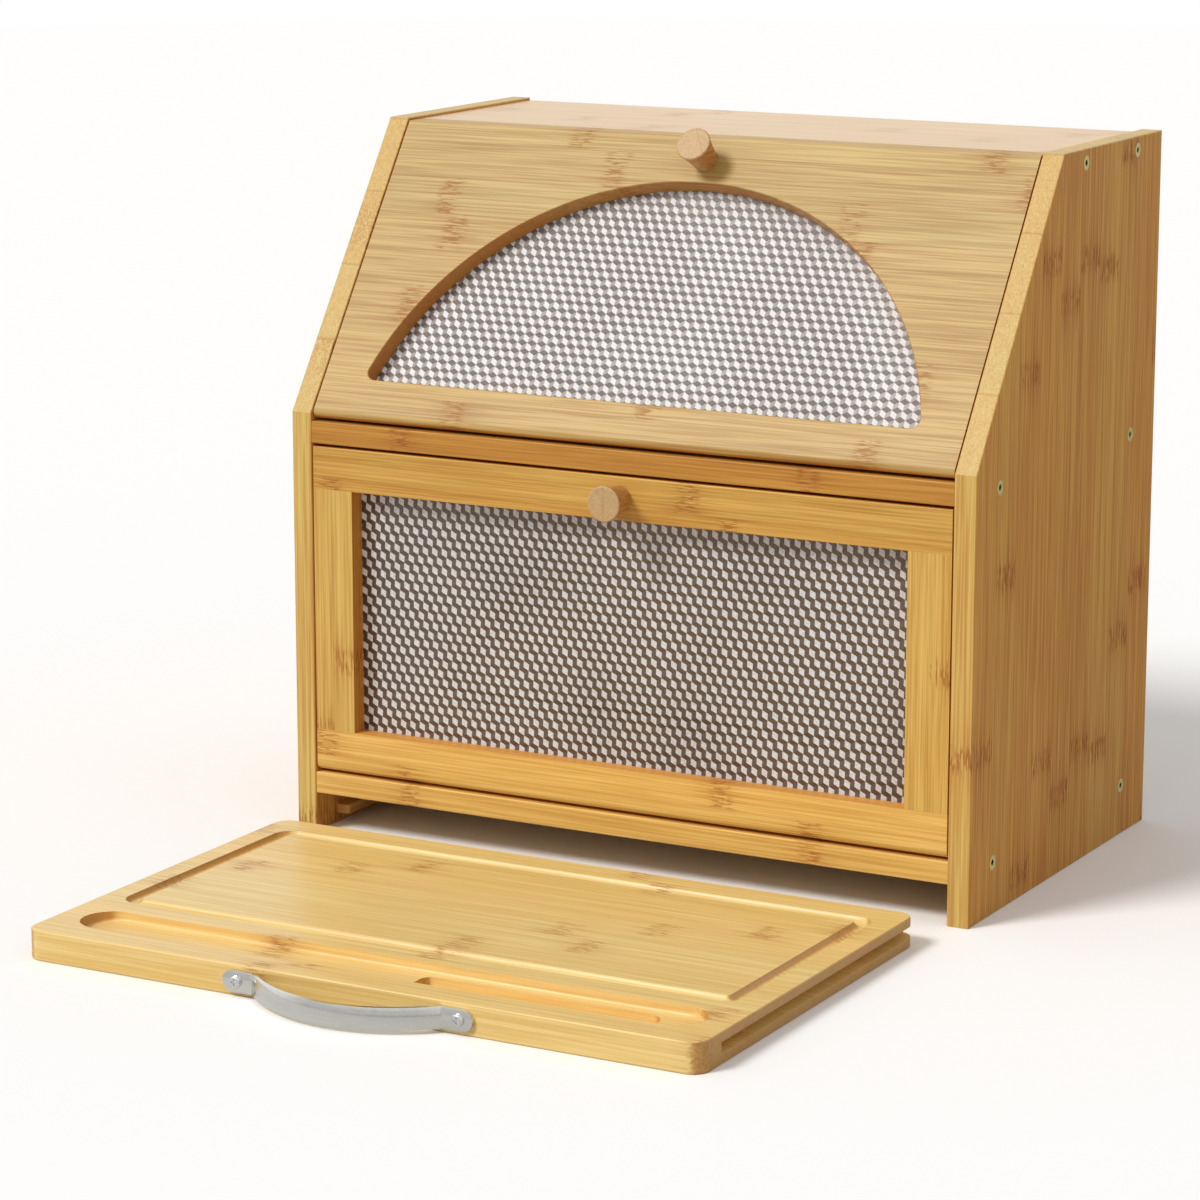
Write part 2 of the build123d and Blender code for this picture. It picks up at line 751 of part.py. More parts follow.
# steel strikes in the top rail's back, opposite the stops' magnets
with BuildPart() as lower_strikes:
    with BuildSketch(Plane.XZ.offset(-lower_back)):
        with Locations((-lower_catch_x, lower_catch_z), (lower_catch_x, lower_catch_z)):
            Circle(magnet_radius)
    extrude(amount=strike_length)
write(lower_strikes.part, "lower_strikes")

# ---------------------------------------------------------------- cutting board

trough_y = board_front + trough_front_margin + trough_width / 2
trough_floor = board_thickness - trough_depth
trough_length = board_width - 2 * trough_side_margin
pocket_right = trough_length / 2 - pocket_margin
pocket_left = pocket_right - pocket_length
juice_x = board_width / 2 - juice_side_margin - juice_width / 2
juice_low = board_front + juice_front_margin + juice_width / 2
juice_high = board_front + board_depth - juice_back_margin - juice_width / 2
cove_radius = (juice_width**2 / 4 + juice_depth**2) / (2 * juice_depth)

# centreline of the juice groove, above the board's top face
cove_z = board_thickness + cove_radius - juice_depth
with BuildSketch(Plane.XY.offset(cove_z)) as juice_sketch:
    with Locations((0, (juice_low + juice_high) / 2)):
        RectangleRounded(2 * juice_x, juice_high - juice_low, juice_corner)
juice_path = juice_sketch.sketch.face().outer_wire()

with BuildPart() as cutting_board:
    with BuildSketch():
        with Locations((0, board_middle)):
            RectangleRounded(board_width, board_depth, board_corner)
    extrude(amount=board_thickness)
    rims = cutting_board.faces().filter_by(Axis.Z).edges()
    fillet(rims, board_edge_round)
    # side slots: closed at the front, open at the back
    slot_length = board_depth - slot_stop
    for side in (-1, 1):
        with Locations((side * (board_width / 2 - slot_depth / 2), board_front + slot_stop + slot_length / 2, slot_middle)):
            Box(slot_depth, slot_length, slot_height, mode=Mode.SUBTRACT)
    # knife trough, and the deeper pocket in its floor for the knife's handle
    with BuildSketch(Plane.XY.offset(board_thickness)):
        with Locations((0, trough_y)):
            SlotOverall(trough_length, trough_width)
    extrude(amount=-trough_depth, mode=Mode.SUBTRACT)
    trough_bed = cutting_board.faces().filter_by(Axis.Z).sort_by_distance((0, trough_y, trough_floor))[0]
    fillet(trough_bed.edges(), trough_round)
    with BuildSketch(Plane.XY.offset(trough_floor)) as pocket:
        with Locations(((pocket_left + pocket_right - pocket_width / 2) / 2, trough_y)):
            Rectangle(pocket_right - pocket_left - pocket_width / 2, pocket_width)
        fillet(pocket.vertices().group_by(Axis.X)[0], pocket_corner)
        with Locations((pocket_right - pocket_width / 2, trough_y)):
            Circle(pocket_width / 2)
    extrude(amount=-pocket_depth, mode=Mode.SUBTRACT)
    # juice groove: a cove swept round a rounded rectangle
    with BuildSketch(Plane(origin=juice_path @ 0, z_dir=juice_path % 0)):
        Circle(cove_radius)
    sweep(path=juice_path, mode=Mode.SUBTRACT)
    # pilot holes for the handle's screws
    with Locations(Plane(origin=(0, board_front, board_thickness / 2), x_dir=(1, 0, 0), z_dir=(0, -1, 0))):
        with Locations((-tab_screw_spacing / 2, 0), (tab_screw_spacing / 2, 0)):
            Hole(radius=tab_screw_radius + thread_play, depth=tab_screw_length)
write(cutting_board.part, "cutting_board")

# strap handle: a flat metal strip, bent to a tab at each end and bowed out between them
half_chord = strap_chord / 2
bow_rise = strap_rise - strap_thickness
bow_radius = (half_chord**2 + bow_rise**2) / (2 * bow_rise)
bow_centre = board_front - strap_rise + bow_radius
bow_inner = bow_radius - strap_thickness
inner_half = sqrt(bow_inner**2 - (bow_centre - board_front) ** 2)
outer_angle = degrees(atan2(half_chord, bow_radius - bow_rise))
inner_angle = degrees(atan2(inner_half, bow_centre - board_front))
tab_end = half_chord + strap_tab

with BuildPart() as board_handle:
    with BuildSketch(Plane.XY.offset((board_thickness - strap_height) / 2)) as strap_section:
        with BuildLine():
            for side in (-1, 1):
                CenterArc((0, bow_centre), bow_radius, -90, side * outer_angle)
                CenterArc((0, bow_centre), bow_inner, -90, side * inner_angle)
                Polyline(
                    (side * half_chord, board_front - strap_thickness),
                    (side * tab_end, board_front - strap_thickness),
                    (side * tab_end, board_front),
                    (side * inner_half, board_front),
                )
        make_face()
        corners = strap_section.vertices()
        fillet([v for v in corners if abs(abs(v.X) - half_chord) < 0.01], strap_bend)
        fillet([v for v in corners if abs(abs(v.X) - inner_half) < 0.01], strap_bend + strap_thickness)
    extrude(amount=strap_height)
    # the tabs' ends are rounded to half the strap's height
    tab_edges = board_handle.edges().filter_by(Axis.Y).group_by(Axis.X)
    fillet(tab_edges[0] + tab_edges[-1], strap_height / 2 - joint_play)
    with Locations(Plane(
        origin=(0, board_front - strap_thickness, board_thickness / 2), x_dir=(1, 0, 0), z_dir=(0, -1, 0),
    )):
        with Locations((-tab_screw_spacing / 2, 0), (tab_screw_spacing / 2, 0)):
            Hole(radius=tab_screw_radius + pane_hole_play, depth=strap_thickness)
write(board_handle.part, "board_handle")

# pan-head cross screws through the tabs
with BuildPart() as tab_screw:
    with BuildSketch():
        Circle(tab_screw_head_radius)
    extrude(amount=tab_screw_head_height)
    fillet(tab_screw.edges().group_by(Axis.Z)[-1], tab_screw_head_height * 0.6)
    with BuildSketch(Plane.XY.offset(tab_screw_head_height)):
        Rectangle(cross_length, cross_width)
        Rectangle(cross_width, cross_length)
    extrude(amount=-cross_depth, mode=Mode.SUBTRACT)
    with BuildSketch():
        Circle(tab_screw_radius)
    extrude(amount=-(strap_thickness + tab_screw_length - groove_play))

with BuildPart() as handle_screws:
    with Locations(Plane(
        origin=(0, board_front - strap_thickness, board_thickness / 2), x_dir=(1, 0, 0), z_dir=(0, -1, 0),
    )):
        with Locations((-tab_screw_spacing / 2, 0), (tab_screw_spacing / 2, 0)):
            add(tab_screw.part)
write(handle_screws.part, "handle_screws")

print("front plane y", round(front, 3), "lean", round(degrees(lean), 2))
print("upper pivot", round(upper_pivot_y, 3), round(upper_pivot_z, 3))
print("lower pivot", round(lower_pivot_y, 3), round(lower_pivot_z, 3))
print("board travel", round(board_travel, 3))
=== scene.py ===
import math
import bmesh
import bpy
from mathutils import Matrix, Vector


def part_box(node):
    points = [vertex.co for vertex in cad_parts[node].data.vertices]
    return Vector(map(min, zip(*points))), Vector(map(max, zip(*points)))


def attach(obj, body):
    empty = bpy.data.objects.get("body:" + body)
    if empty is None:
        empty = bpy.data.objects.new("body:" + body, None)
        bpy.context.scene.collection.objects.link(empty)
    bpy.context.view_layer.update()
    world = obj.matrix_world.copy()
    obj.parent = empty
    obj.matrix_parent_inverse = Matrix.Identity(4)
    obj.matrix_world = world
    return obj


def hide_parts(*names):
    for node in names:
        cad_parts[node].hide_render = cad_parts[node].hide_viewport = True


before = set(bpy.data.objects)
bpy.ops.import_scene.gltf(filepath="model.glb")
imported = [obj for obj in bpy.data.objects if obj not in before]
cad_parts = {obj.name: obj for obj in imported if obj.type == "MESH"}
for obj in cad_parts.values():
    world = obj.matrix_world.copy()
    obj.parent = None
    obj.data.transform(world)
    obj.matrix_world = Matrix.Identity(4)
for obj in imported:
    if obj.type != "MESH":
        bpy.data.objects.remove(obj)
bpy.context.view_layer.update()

# %% [markdown]
# # A two-tier bamboo bread box with a pull-out cutting board
#
# The solid model is already loaded: every panel, door, screw and the board itself sit where they
# belong, in metres. This script gives them their finishes, swaps the two smooth window panes for
# pressed prism panes, and sets up the light and the camera.

MM = 0.001
WHITE = (1, 1, 1, 1)
scene = bpy.context.scene
scene.view_settings.view_transform = "Standard"

# %% [markdown]
# ## The slanted front
#
# The upper front leans back from the upright. The front edges of the sides turn 232 mm up, and
# the top lies 104 mm behind the lower front. The height of the box is read from the solids.

# %% The slanted front
side_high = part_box("side_panel_right")[1]
kink_height = 232 * MM
top_setback = 104 * MM
lean = math.atan2(top_setback, side_high.z - kink_height)
print("lean of the slanted front", round(math.degrees(lean), 2), "degrees")

# %% [markdown]
# ## Camera
#
# The photograph was taken from the front right, a little above the box, with a long lens that
# keeps the upright edges nearly parallel. The two angles are in degrees.

# %% Camera
tilt_down = 12.258
turn_left = 28.694
camera_data = bpy.data.cameras.new("photo_camera")
camera_data.lens = 123.7
camera_data.sensor_width = 36
camera_data.clip_end = 50
camera = bpy.data.objects.new("photo_camera", camera_data)
scene.collection.objects.link(camera)
camera.location = (0.9948, -1.8116, 0.6031)
camera.rotation_euler = (math.radians(90 - tilt_down), 0, math.radians(turn_left))
scene.camera = camera
print("camera at", tuple(round(v, 3) for v in camera.location))

# %% [markdown]
# ## Shader tools
#
# Short words for the nodes that come again and again, so that the steps below read like sums. A
# term is either a socket, which is linked, or a plain value, which is set.


# %% Colours, materials and single nodes
def paint(red, green, blue):
    """A colour as it is read off a screen, 0 to 255, turned into the linear values that shaders use."""
    def linear(value):
        value /= 255
        return value / 12.92 if value <= 0.04045 else ((value + 0.055) / 1.055) ** 2.4
    return (linear(red), linear(green), linear(blue), 1.0)


def grey(tone):
    """A neutral colour. tone is linear, 0 to 1."""
    return (tone, tone, tone, 1)


def new_material(name):
    """A material, its node tree and its main shader."""
    material = bpy.data.materials.new(name)
    material.use_nodes = True
    return material, material.node_tree, material.node_tree.nodes["Principled BSDF"]


def add_node(tree, kind, operation=None, **values):
    """A new node. values set its input sockets by name, with underscores for spaces."""
    node = tree.nodes.new(kind)
    if operation:
        node.operation = operation
    for name, value in values.items():
        node.inputs[name.replace("_", " ")].default_value = value
    return node


def feed(tree, sockets, terms):
    """Gives each socket its term, by a link or as a set value."""
    for socket, term in zip(sockets, terms):
        if isinstance(term, bpy.types.NodeSocket):
            tree.links.new(term, socket)
        else:
            socket.default_value = term


print("single nodes ready")


# %% Sums, ramps and textures
def math_node(tree, operation, *terms):
    """One sum with numbers."""
    node = add_node(tree, "ShaderNodeMath", operation)
    feed(tree, node.inputs, terms)
    return node.outputs[0]


def plus(tree, first, second):
    """first + second"""
    return math_node(tree, "ADD", first, second)


def minus(tree, first, second):
    """first - second"""
    return math_node(tree, "SUBTRACT", first, second)


def times(tree, first, second):
    """first * second"""
    return math_node(tree, "MULTIPLY", first, second)


def vector_node(tree, operation, *terms):
    """One sum with places. Only LENGTH puts out a number."""
    node = add_node(tree, "ShaderNodeVectorMath", operation)
    feed(tree, node.inputs, terms)
    return node.outputs["Value" if operation == "LENGTH" else "Vector"]


def parts_of(tree, place):
    """The X, Y and Z of a place, as three sockets."""
    node = add_node(tree, "ShaderNodeSeparateXYZ")
    tree.links.new(place, node.inputs[0])
    return node.outputs


def place_from(tree, *terms):
    """A place made up of X, Y and Z."""
    node = add_node(tree, "ShaderNodeCombineXYZ")
    feed(tree, node.inputs, terms)
    return node.outputs[0]


def turned(tree, place, turn, move=(0, 0, 0), kind="POINT"):
    """place turned by angles in degrees and then moved. kind NORMAL is for the way a face looks."""
    node = add_node(tree, "ShaderNodeMapping", Location=move, Rotation=[math.radians(v) for v in turn])
    node.vector_type = kind
    tree.links.new(place, node.inputs["Vector"])
    return node.outputs[0]


def ramp_between(tree, value, low, high, start=0.0, end=1.0, smooth=True):
    """start up to low, end from high on, and between them a smooth change or a straight one."""
    node = add_node(tree, "ShaderNodeMapRange", From_Min=low, From_Max=high, To_Min=start, To_Max=end)
    node.interpolation_type = "SMOOTHSTEP" if smooth else "LINEAR"
    tree.links.new(value, node.inputs["Value"])
    return node.outputs["Result"]


def mix_colours(tree, amount, first, second, blend="MIX"):
    """first turned into second by amount. With blend MULTIPLY, first is tinted by second."""
    node = add_node(tree, "ShaderNodeMix")
    node.data_type = "RGBA"
    node.blend_type = blend
    feed(tree, (node.inputs[0], node.inputs[6], node.inputs[7]), (amount, first, second))
    return node.outputs[2]


def noise(tree, place, scale=1.0, detail=2.0, roughness=0.5):
    """Smooth noise at place, 0 to 1."""
    node = add_node(tree, "ShaderNodeTexNoise", Scale=scale, Detail=detail, Roughness=roughness)
    tree.links.new(place, node.inputs["Vector"])
    return node.outputs["Fac"]


def relief(tree, height, strength, depth):
    """A Bump node that shows height, 0 to 1, as a relief of that depth in metres."""
    node = add_node(tree, "ShaderNodeBump", Strength=strength, Distance=depth)
    tree.links.new(height, node.inputs["Height"])
    return node


print("sums, ramps and textures ready")

# %% [markdown]
# ## Light and ground
#
# A bright even studio: a soft sky fills from all round, and one broad lamp high on the front left
# makes the front lighter than the right side, as in the photograph. The camera and the glass see
# a plain white room. What shines mirrors a studio that isn't all white: a dim wall in front of the
# box, and a ground that darkens to the right and away from it. Without them the bare metal strap
# would lose its shape in all the white.

# %% Sky
sky_strength = 0.55
wall_tone = 0.62
world = bpy.data.worlds.new("studio")
scene.world = world
world.use_nodes = True
sky = world.node_tree
sky.nodes.clear()
ray = add_node(sky, "ShaderNodeLightPath").outputs
towards = parts_of(sky, add_node(sky, "ShaderNodeTexCoord").outputs["Generated"])
front_wall = times(sky, ramp_between(sky, towards["Y"], -0.3, -0.7, smooth=False),
                   ramp_between(sky, towards["Z"], 0.5, 0.25, smooth=False))
room = mix_colours(sky, times(sky, front_wall, ray["Is Glossy Ray"]), WHITE, grey(wall_tone))
sky_fill = add_node(sky, "ShaderNodeBackground", Color=WHITE, Strength=sky_strength)
sky_seen = add_node(sky, "ShaderNodeBackground", Strength=1.0)
sky.links.new(room, sky_seen.inputs["Color"])
seen = math_node(sky, "MAXIMUM", ray["Is Camera Ray"], ray["Is Glossy Ray"])
seen = math_node(sky, "MAXIMUM", seen, ray["Is Transmission Ray"])
sky_mix = add_node(sky, "ShaderNodeMixShader")
feed(sky, sky_mix.inputs, (seen, sky_fill.outputs[0], sky_seen.outputs[0]))
sky.links.new(sky_mix.outputs[0], add_node(sky, "ShaderNodeOutputWorld").inputs[0])
print("sky of strength", sky_strength, "and a front wall of tone", wall_tone)

# %% Lamp
towards_lamp = Vector((-0.38, -0.6, 0.7))
lamp_data = bpy.data.lights.new("key_lamp", "SUN")
lamp_data.energy = 2.0
lamp_data.angle = math.radians(18)
lamp_data.color = (1.0, 0.98, 0.95)
lamp = bpy.data.objects.new("key_lamp", lamp_data)
scene.collection.objects.link(lamp)
lamp.rotation_euler = towards_lamp.to_track_quat("Z", "Y").to_euler()
print("lamp towards", tuple(round(v, 2) for v in towards_lamp))

# %% Ground
ground_radius = 6.0
ground_tone = 0.68
floor_mesh = bpy.data.meshes.new("ground")
floor_shape = bmesh.new()
bmesh.ops.create_circle(floor_shape, cap_ends=True, segments=64, radius=ground_radius)
floor_shape.to_mesh(floor_mesh)
floor_shape.free()
ground = bpy.data.objects.new("ground", floor_mesh)
scene.collection.objects.link(ground)

ground_paint, ground_tree, ground_shader = new_material("pale_ground")
ground_shader.inputs["Roughness"].default_value = 0.6
ground_shader.inputs["Specular IOR Level"].default_value = 0.0
ray = add_node(ground_tree, "ShaderNodeLightPath").outputs
place = add_node(ground_tree, "ShaderNodeTexCoord").outputs["Object"]
reach = vector_node(ground_tree, "LENGTH", place)
to_right = ramp_between(ground_tree, parts_of(ground_tree, place)["X"], -0.3, 0.7, 0.9, 0.2, smooth=False)
outward = ramp_between(ground_tree, reach, 0.34, 0.9, 1.0, 0.3, smooth=False)
mirrored = times(ground_tree, to_right, outward)
unseen = mix_colours(ground_tree, ray["Is Glossy Ray"], grey(ground_tone), mirrored)
ground_colour = mix_colours(ground_tree, ray["Is Camera Ray"], unseen, WHITE)
ground_tree.links.new(ground_colour, ground_shader.inputs["Base Color"])
ground.data.materials.append(ground_paint)
print("ground of radius", ground_radius, "m")

# %% [markdown]
# ## Bamboo: strips
#
# Bamboo board is glued up from flat strips of the stem's wall, about 20 to 26 mm wide, each with
# its own tint. One node group makes that as a solid pattern: first direction along the grain,
# second across the strips, third through the board. Each strip and layer gets its own random
# numbers, and thin dark glue lines run between the strips.

# %% Bamboo group and its strips
bamboo = bpy.data.node_groups.new("bamboo_strips", "ShaderNodeTree")
for direction, kind, names in (
    ("INPUT", "NodeSocketVector", ("Place", "Facing")),
    ("INPUT", "NodeSocketFloat", ("Strip Width", "Layer Height", "Node Spacing", "Seed")),
    ("INPUT", "NodeSocketColor", ("Pale", "Warm", "Knot", "Edge Tint", "End Tone And Painted Shading")),
    ("OUTPUT", "NodeSocketColor", ("Colour",)),
    ("OUTPUT", "NodeSocketFloat", ("Roughness", "Height")),
):
    for name in names:
        bamboo.interface.new_socket(name, in_out=direction, socket_type=kind)
given = bamboo.nodes.new("NodeGroupInput").outputs
result = bamboo.nodes.new("NodeGroupOutput").inputs

along, across, deep = parts_of(bamboo, given["Place"])
strip_place = math_node(bamboo, "DIVIDE", across, given["Strip Width"])
layer_place = math_node(bamboo, "DIVIDE", deep, given["Layer Height"])
strip_id = place_from(bamboo, math_node(bamboo, "FLOOR", strip_place),
                      math_node(bamboo, "FLOOR", layer_place), given["Seed"])
strip_random = add_node(bamboo, "ShaderNodeTexWhiteNoise")
bamboo.links.new(strip_id, strip_random.inputs["Vector"])
random_split = add_node(bamboo, "ShaderNodeSeparateColor")
bamboo.links.new(strip_random.outputs["Color"], random_split.inputs[0])
random_shift, random_tint, random_tone = random_split.outputs

from_middle = math_node(bamboo, "ABSOLUTE", minus(bamboo, math_node(bamboo, "FRACT", strip_place), 0.5))
seam = ramp_between(bamboo, from_middle, 0.478, 0.498)
print("strips and glue lines made with", len(bamboo.nodes), "nodes")

# %% [markdown]
# ## Bamboo: fibres
#
# The fibres are fine, straight and long, and no two strips share them. They are noise drawn out
# along the grain, at three widths, with soft clouds over them. Each strip reads the noise at a
# place of its own, metres away from its neighbour's. Cut ends then show the fibres as dots by
# themselves.

# %% Fibres
SHIFT_ALONG, SHIFT_THROUGH = 7.0, 3.0
own_shift = place_from(bamboo, times(bamboo, random_shift, SHIFT_ALONG), 0.0,
                       times(bamboo, random_tint, SHIFT_THROUGH))
own_place = vector_node(bamboo, "ADD", given["Place"], own_shift)


def grain(lengthwise, crosswise, detail=2, roughness=0.6):
    """Noise with that many waves to a metre along the grain and across it."""
    drawn_out = vector_node(bamboo, "MULTIPLY", own_place, (lengthwise, crosswise, crosswise))
    return noise(bamboo, drawn_out, detail=detail, roughness=roughness)


fine = grain(14, 860)
fine_streaks = ramp_between(bamboo, fine, 0.4, 0.6)
middle_streaks = ramp_between(bamboo, grain(6, 330), 0.38, 0.62)
broad_streaks = ramp_between(bamboo, grain(2, 90), 0.35, 0.65)
cloud = grain(6, 30, roughness=0.5)
streaks = plus(bamboo, times(bamboo, broad_streaks, 0.14),
               plus(bamboo, times(bamboo, middle_streaks, 0.36), times(bamboo, fine_streaks, 0.56)))
print("fibres added,", len(bamboo.nodes), "nodes")

# %% [markdown]
# ## Bamboo: nodes of the stem
#
# Every 200 to 300 mm the stem has a node: a short band where the fibres are knotted into dark,
# ragged dashes with a faint halo. Neighbouring strips have theirs at different places. They show on
# the flat of a strip and on its sawn edge. A cut end shows pores in their place, so the way a face
# looks counts too.

# %% Nodes of the stem, and how a face lies to the grain
NODE_SHIFT = 5.0
band_wobble = times(bamboo, minus(bamboo, grain(40, 110, roughness=0.5), 0.5), 7 * MM)
stem = plus(bamboo, math_node(bamboo, "DIVIDE", along, given["Node Spacing"]),
            times(bamboo, random_shift, NODE_SHIFT))
from_node = times(bamboo, minus(bamboo, math_node(bamboo, "FRACT", stem), 0.5), given["Node Spacing"])
from_node = math_node(bamboo, "ABSOLUTE", plus(bamboo, from_node, band_wobble))
band = ramp_between(bamboo, from_node, 3 * MM, 9.5 * MM, 1.0, 0.0)
halo = ramp_between(bamboo, from_node, 4 * MM, 22 * MM, 1.0, 0.0)
dashes = ramp_between(bamboo, grain(110, 1000), 0.48, 0.58)

facing = parts_of(bamboo, given["Facing"])
on_end = ramp_between(bamboo, math_node(bamboo, "ABSOLUTE", facing["X"]), 0.3, 0.6)
off_end = minus(bamboo, 1.0, on_end)
off_flat = ramp_between(bamboo, math_node(bamboo, "ABSOLUTE", facing["Z"]), 0.75, 0.3)
on_edge = times(bamboo, off_end, off_flat)
knots = times(bamboo, off_end, times(bamboo, band, dashes))
pores = times(bamboo, on_end, ramp_between(bamboo, grain(900, 1500, detail=1, roughness=0.5), 0.48, 0.64))
print("nodes of the stem and pores added,", len(bamboo.nodes), "nodes")

# %% [markdown]
# ## Bamboo: colour, sheen and relief
#
# A point lies between a pale and a warm colour by its fibres, its strip's tint and the clouds. Cut
# ends are more even. Halos, knots, glue lines and pores are darkened with the knot colour. Sawn
# edges and cut ends then take a tint set per piece, mostly painted light and shade: paler where an
# edge stands lit, darker where it lies in shade. Knots and glue lines also lie a little deeper than
# the fibres.

# %% Colour, sheen and relief
STRIP_CONTRAST, CLOUD_CONTRAST = 0.24, 0.2
tint = plus(bamboo, times(bamboo, streaks, 0.85),
            times(bamboo, minus(bamboo, random_tint, 0.35), STRIP_CONTRAST))
tint = plus(bamboo, tint, times(bamboo, minus(bamboo, cloud, 0.5), CLOUD_CONTRAST))
tint = plus(bamboo, times(bamboo, tint, minus(bamboo, 1.0, times(bamboo, on_end, 0.7))),
            times(bamboo, on_end, 0.3))
wood = mix_colours(bamboo, tint, given["Pale"], given["Warm"])
hue = mix_colours(bamboo, random_tone, (1.02, 0.965, 0.91, 1), (0.97, 0.99, 0.98, 1))
wood = mix_colours(bamboo, 1.0, wood, hue, "MULTIPLY")
for mask, strength in ((times(bamboo, halo, fine_streaks), 0.3), (knots, 0.75), (seam, 0.3)):
    wood = mix_colours(bamboo, times(bamboo, mask, strength), wood, given["Knot"])
# painted light and shade: sawn edges and cut ends take the tint each piece sets, paler where lit, darker in
# shade; the board's cut ends get a darker tone
for mask, tone_and_shading in ((on_edge, given["Edge Tint"]), (on_end, given["End Tone And Painted Shading"])):
    wood = mix_colours(bamboo, mask, wood, mix_colours(bamboo, 1.0, wood, tone_and_shading, "MULTIPLY"))
wood = mix_colours(bamboo, times(bamboo, pores, 0.26), wood, given["Knot"])
bamboo.links.new(wood, result["Colour"])

sheen = plus(bamboo, plus(bamboo, 0.4, times(bamboo, fine, 0.16)), times(bamboo, knots, 0.15))
bamboo.links.new(sheen, result["Roughness"])
height = minus(bamboo, minus(bamboo, times(bamboo, fine, 0.6), times(bamboo, knots, 0.8)),
               times(bamboo, seam, 0.5))
bamboo.links.new(height, result["Height"])
print("bamboo group with", len(bamboo.nodes), "nodes")

# %% [markdown]
# ## Bamboo finishes
#
# Each panel gets its own copy of the finish, turned so that the grain runs the way it does on the
# real piece: along the width on the doors, shelves, top and board, upright on the sides and stiles.
# The colours differ from piece to piece, as they do in the photograph; part of that is painted
# light and shade, set out where each piece is finished. The top, the sides and the
# shelf have thicker layers, so that no boundary between two layers falls on a face.

# %% Bamboo material
FIBRE_DEPTH = 0.2 * MM


# edge and end tint the sawn edges and cut ends; most pieces use them as painted light and shade
def bamboo_finish(name, turn=(0, 0, 0), move=(0, 0, 0), strip=0.022, layer=0.02, spacing=0.24, seed=0.0,
                  pale=(230, 186, 108), warm=(196, 142, 66), knot=(150, 84, 32), lacquer=0.1, gloss=0.35,
                  edge=(1, 1, 1), end=(1, 1, 1)):
    """A lacquered bamboo material. turn, in degrees, brings the grain to the first axis."""
    material, tree, shader = new_material(name)
    group = tree.nodes.new("ShaderNodeGroup")
    group.node_tree = bamboo
    for socket, value in (
        ("Strip Width", strip), ("Layer Height", layer), ("Node Spacing", spacing), ("Seed", seed),
        ("Pale", paint(*pale)), ("Warm", paint(*warm)), ("Knot", paint(*knot)),
        ("Edge Tint", (*edge, 1)), ("End Tone And Painted Shading", (*end, 1)),
    ):
        group.inputs[socket].default_value = value
    coordinates = tree.nodes.new("ShaderNodeTexCoord").outputs
    tree.links.new(turned(tree, coordinates["Object"], turn, move), group.inputs["Place"])
    tree.links.new(turned(tree, coordinates["Normal"], turn, kind="NORMAL"), group.inputs["Facing"])
    fibres = relief(tree, group.outputs["Height"], strength=0.25, depth=FIBRE_DEPTH)
    tree.links.new(group.outputs["Colour"], shader.inputs["Base Color"])
    tree.links.new(group.outputs["Roughness"], shader.inputs["Roughness"])
    tree.links.new(fibres.outputs["Normal"], shader.inputs["Normal"])
    shader.inputs["Specular IOR Level"].default_value = gloss
    shader.inputs["Coat Weight"].default_value = lacquer
    shader.inputs["Coat Roughness"].default_value = 0.28
    return material


def finish(material, *nodes):
    """Gives the solids their material."""
    for name in nodes:
        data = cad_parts[name].data
        data.materials.clear()
        data.materials.append(material)


ALONG_X_UP_SLOPE = (math.degrees(lean) - 90, 0, 0)
ALONG_X_UPRIGHT = (-90, 0, 0)
ALONG_X_FLAT = (0, 0, 0)
UPRIGHT_SIDE = (0, 90, 0)
UPRIGHT_FRONT = (90, 0, 90)
ALONG_Y = (0, 0, -90)
OUT_OF_SLOPE = (0, math.degrees(lean), 90)
print("bamboo finish ready")

# %% Bamboo of the box
# painted light: edge and end make the front and top edges of the sides paler than the side faces, as lit
# edges
side_paint = dict(pale=(221, 170, 82), warm=(190, 121, 50), knot=(158, 80, 22), strip=0.026, spacing=0.26,
                  layer=0.06, gloss=0.25, lacquer=0.05, edge=(1.04, 1.42, 2.1), end=(1.02, 1.47, 2.58))
finish(bamboo_finish("bamboo_side_left", UPRIGHT_SIDE, move=(0.03, 0, 0), seed=3.0, **side_paint),
       "side_panel_left")
finish(bamboo_finish("bamboo_side_right", UPRIGHT_SIDE, seed=8.0, **side_paint), "side_panel_right")
# partly painted sheen: the top's colours are bamboo made paler; edge paints its sawn edges and front bevel
# darker, as painted shade against the lamp's highlight there
finish(bamboo_finish("bamboo_top", ALONG_X_FLAT, seed=1.0, layer=0.03, pale=(224, 190, 134),
                     warm=(206, 164, 104), knot=(190, 140, 84), gloss=0.5, lacquer=0.6,
                     edge=(0.92, 0.8, 0.6)), "top_panel")
finish(bamboo_finish("bamboo_mid_shelf", ALONG_X_FLAT, seed=9.0, layer=0.03, pale=(206, 148, 64),
                     warm=(175, 112, 38), knot=(156, 84, 26)), "mid_shelf")
finish(bamboo_finish("bamboo_bottom_panel", ALONG_X_FLAT, seed=9.5, pale=(236, 194, 108),
                     warm=(206, 154, 72), knot=(176, 102, 36)), "bottom_panel")
finish(bamboo_finish("bamboo_back", ALONG_X_UPRIGHT, seed=4.0), "back_panel")
finish(bamboo_finish("bamboo_runners", ALONG_Y, seed=7.0),
       "runner_left", "runner_right", "door_stop_left", "door_stop_right")
print("bamboo of the box done")

# %% Bamboo of the doors and the board
# painted shade: the sawn edges of the door pieces, the window reveals among them, are darkened and reddened
# as if in shade
door_edge_painted_shade = (0.95, 0.64, 0.36)
